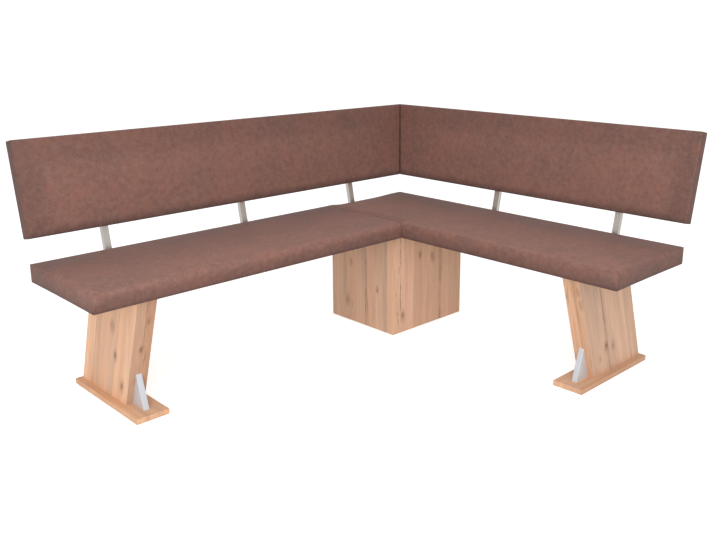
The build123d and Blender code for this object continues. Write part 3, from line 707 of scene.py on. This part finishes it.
seat_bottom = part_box("long_seat_pad")[0].z
for side in ("long", "short"):
    low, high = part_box(f"{side}_seat_pad")
    along, out = along_side[side], out_of_side[side]
    butted = side == "long"
    begin = (seat_corner - high).dot(-along) - seam_gap * butted
    length = (high - low).dot(-along) + seam_gap * butted
    depth = (high - low).dot(-out)
    thickness = high.z - low.z
    inner_corner = depth
    places = [0, length] if butted else [0, inner_corner, length]
    lines = (
        graded(length, places, *seat_lattice, [seam_loop] if butted else []),
        graded(depth, [0, depth], *seat_lattice, [] if butted else [depth - seam_loop]),
        graded(thickness, [0, thickness], *thick_lattice, [thickness - seam_loop]),
    )
    points, quads = box_skin(*lines)
    size = (length, depth, thickness - seat_slack)
    points[:, 2] *= size[2] / thickness
    u, v, z = points.T

    # The form: rolled edges, crisp where the two seats meet, then the hem, the lip and the drawn-in sides.
    along_front = smooth(v, depth - meeting_grows[0], depth - meeting_grows[1])
    behind = smooth(u, inner_corner, inner_corner - meeting_ends)
    meeting = np.zeros(len(points)) if butted else along_front * behind
    edge = rear_roll + (front_roll - rear_roll) * smooth(v, *roll_grows)
    edge = edge + (seam_roll - edge) * meeting
    upper = smooth(z, 0.1 * thickness, size[2] - front_roll)
    corner = np.minimum(edge, lower_corner) * (1 - upper) + edge * upper
    form = soft_block(points, size, corner, edge, lower_edge, butted)
    form[:, 2] += turned_under(points, size, hem_width, hem_depth, hem_rise, butted)
    front, end = depth - v, length - u
    lip = fading(np.minimum(front, end), lip_flat * lip_width, lip_width)
    form[:, 2] -= lip_drop * lip * (z == 0) * (1 - meeting) * smooth(u, 0, lip_starts)
    start = 0.0 if butted else inner_corner
    free = np.clip((form[:, 0] - start) / (length - start), 0, 1)
    across = form[:, 1] / depth
    form[:, 1] -= side_pull * 4 * free * (1 - free) * across
    form[:, 0] -= side_pull * 4 * across * (1 - across) * free

    pressed = z < size[2] - free_rim
    held = (z < staple_line) | (meeting > 0.5) & (v == depth) & pressed
    held |= butted & (u < staple_line) & pressed
    world = placed(along, out, form[:, 0] + begin, form[:, 1], form[:, 2] + seat_bottom)
    pad = skin_object(f"{side}_seat_cushion", world, quads)
    swell(pad, held, seat_swell)

    # Painted light: the top grows paler towards the front, less on the front roll and the end. Painted shade:
    # low down, along the bottom edge, at the lower front corner, at the rear of the top and in the seam.
    # Painted light on the top, growing from the rear to the front, with less of it on the front roll, the end
    # and near the seam.
    ahead, aside = fading(front, 0.0, face_zone), fading(end, 0.0, face_zone)
    upright = smooth(z, rise_starts + face_zone * ahead, size[2] - rise_full)
    top_light = smooth(v, light_starts, light_full * depth) * upright
    top_light *= (1 - (1 - roll_light[side]) * ahead) * (1 - (1 - end_light[side]) * aside)
    mark(pad, "painted_light", top_light * (1 - (1 - seam_light) * meeting))
    # Painted shade in the lower front corner of the free end.
    corner_shade = fading(np.hypot(front, end), *corner_shade_fades) * fading(z, *corner_shade_height)
    # Painted shade: darker towards the bottom and more so on the front, a dark line along the bottom edge,
    # the short seat's front and end darker as they lie farther from the light, and the rear of the top darker
    # where the back blocks light.
    lower = (lower_shade + front_shade * ahead) * fading(z, *lower_fades)
    lower += hem_shade * fading(z, *hem_fades)
    lower += face_shade[side] * np.maximum(ahead, aside) * fading(z, size[2] - face_zone, size[2])
    lower = np.maximum(lower, rear_shade * fading(v, *rear_fades))
    # Painted shade in the seam where the two seats meet, and in its line down the long seat's front.
    seam_shade = held & (z > staple_line)
    close = butted * ahead * fading(u, *seam_fades) * (z < size[2] - seam_top)
    mark(pad, "shade", np.maximum(np.maximum(lower, corner_shade), np.maximum(seam_shade, close)))
    rounded_out(pad)
    pad.data.materials.append(leather)
    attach(pad, "root")
    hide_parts(f"{side}_seat_pad")


# Backrests
# A foam pad under the same leather on each back board, reclined and mitred at the corner, with a thin
# leather-covered panel that closes the rear.

# The pad's lean, its size along the slant and through it, its layers as in the CAD, and its edges' radii.
recline = radians(11.5)
back_height = 0.330
back_depth = 0.040
back_cover = 0.004
back_foam = 0.021
back_board = 0.016
back_edge = 0.006
back_corner = 0.006
back_rear_edge = 0.003
back_swell = 0.003
# The rim round the rear panel, the lattice of the cover, where it is held, and the gap in the mitre.
rear_rim = 0.0115
rear_recess = 0.0035
back_lattice = (0.0015, 0.014, 0.050)
back_thick_lattice = (0.0015, 0.007, 0.015)
back_held = 0.004
mitre_gap = 0.0005
# Painted shade of the leather below, above, towards the end, on the end face and in the mitre, and where it
# fades.
below_shade = 0.9
below_fades = (0.002, 0.036)
above_shade = 0.33
above_grows = (0.20, 0.28)
aside_shade = 0.40
aside_grows = (0.12, 0.03)
end_shade = {"long": 0.30, "short": 0.05}
end_grows = (0.010, 0.004)
mitre_shade = 1.3
mitre_fades = (0.001, 0.007)

for side in ("long", "short"):
    along, out = along_side[side], out_of_side[side]
    low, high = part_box(f"{side}_back_board")
    length = (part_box(f"{side}_back_pad")[0] - floor_corner).dot(along)
    board_out = max((low - floor_corner).dot(out), (high - floor_corner).dot(out))
    board_foot = low.z + back_board * sin(recline)
    foot_out = board_out + back_cover * sin(recline) + back_foam * cos(recline)
    foot_up = board_foot - back_cover * cos(recline) + back_foam * sin(recline)

    lines = (
        graded(length, [0, length], *seat_lattice),
        graded(back_height, [0, back_height], *back_lattice),
        graded(back_depth, [0, back_depth], *back_thick_lattice),
    )
    points, quads = box_skin(*lines)
    size = (length, back_height, back_depth)
    u, v, z = points.T
    form = soft_block(points, size, back_corner, back_edge, back_rear_edge, True)
    form[:, 2] += turned_under(points, size, rear_rim, 0.0, rear_recess, True)
    depth_in = back_depth - form[:, 2]
    outward = foot_out - form[:, 1] * sin(recline) - depth_in * cos(recline)
    upward = foot_up + form[:, 1] * cos(recline) - depth_in * sin(recline)
    half_gap = mitre_gap / 2 * 2**0.5
    lengthwise = form[:, 0] + (outward + half_gap) * (1 - form[:, 0] / length)
    pad = skin_object(f"{side}_back_cushion", placed(along, out, lengthwise, outward, upward), quads)
    swell(pad, (z < back_held) | (u < staple_line), back_swell)

    # Painted shade on the back: darker along the bottom edge, towards the top, towards the free end, on the
    # end face and in the mitre line.
    below = below_shade * fading(v, *below_fades)
    above = above_shade * smooth(v, *above_grows)
    aside = aside_shade * smooth(u, length - aside_grows[0], length - aside_grows[1])
    aside += end_shade[side] * smooth(u, length - end_grows[0], length - end_grows[1])
    mitre_line_shade = mitre_shade * fading(u, *mitre_fades)
    mark(pad, "painted_light", np.zeros(len(points)))
    mark(pad, "shade", np.maximum(np.maximum(below, above), np.maximum(aside, mitre_line_shade)))
    rounded_out(pad)
    pad.data.materials.append(leather)
    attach(pad, "root")
    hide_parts(f"{side}_back_pad")
    finish(leather, f"{side}_back_rear_panel")


# Studio
# A plain white floor, which the camera sees a little brighter than it is, soft white light from all round
# with a broad key from the left and one from above, and the camera.
floor_half = 40.0
floor_lift = 0.6
sky_power = 0.6
sky_lift = 0.5
floor_points = np.array([(-1, -1, 0), (1, -1, 0), (1, 1, 0), (-1, 1, 0)]) * floor_half
floor = skin_object("floor", floor_points, np.array([[0, 1, 2, 3]]))
material, tree, shader = new_material("white floor", Roughness=0.9, Specular_IOR_Level=0.0)
pale = noise(tree, add(tree, "TexCoord").outputs["Object"], 2.0, 2.0)
tree.links.new(mix(tree, pale, (0.84, 0.84, 0.84, 1), (0.86, 0.86, 0.86, 1)), shader.inputs["Base Color"])
shader.inputs["Emission Color"].default_value = (1, 1, 1, 1)
seen = add(tree, "LightPath").outputs["Is Camera Ray"]
tree.links.new(maths(tree, "MULTIPLY", seen, floor_lift), shader.inputs["Emission Strength"])
floor.data.materials.append(material)

world = bpy.data.worlds.new("white studio")
world.use_nodes = True
tree = world.node_tree
seen = add(tree, "LightPath").outputs["Is Camera Ray"]
glow = maths(tree, "ADD", maths(tree, "MULTIPLY", seen, sky_lift), sky_power)
tree.links.new(glow, tree.nodes["Background"].inputs["Strength"])
tree.nodes["Background"].inputs["Color"].default_value = (1, 1, 1, 1)
bpy.context.scene.world = world


def soft_light(name, place, target, width, power):
    """Square area light at a place, turned to a target."""
    lamp = bpy.data.lights.new(name, "AREA")
    lamp.size = width
    lamp.energy = power
    made = bpy.data.objects.new(name, lamp)
    made.location = place
    made.rotation_euler = (Vector(target) - Vector(place)).to_track_quat("-Z", "Y").to_euler()
    bpy.context.scene.collection.objects.link(made)


soft_light("key", (-3.5, -3.3, 1.7), (0, 0, 0.55), width=2.6, power=112)
soft_light("overhead", (-1.6, -1.7, 3.3), (0, 0, 0.4), width=2.6, power=55)

camera = bpy.data.objects.new("camera", bpy.data.cameras.new("camera"))
camera.location = (-1.9149, -2.0140, 1.2531)
pitch, heading, roll = radians(75.966), radians(-44.145), radians(-0.062)
turn = Euler((pitch, 0, heading)).to_matrix() @ Matrix.Rotation(roll, 3, "Z")
camera.rotation_euler = turn.to_euler()
camera.data.sensor_width = 36.0
camera.data.lens = 41.104
camera.data.shift_x = -0.0270
camera.data.shift_y = -0.0547
bpy.context.scene.collection.objects.link(camera)
bpy.context.scene.camera = camera
bpy.context.scene.view_settings.view_transform = "Standard"
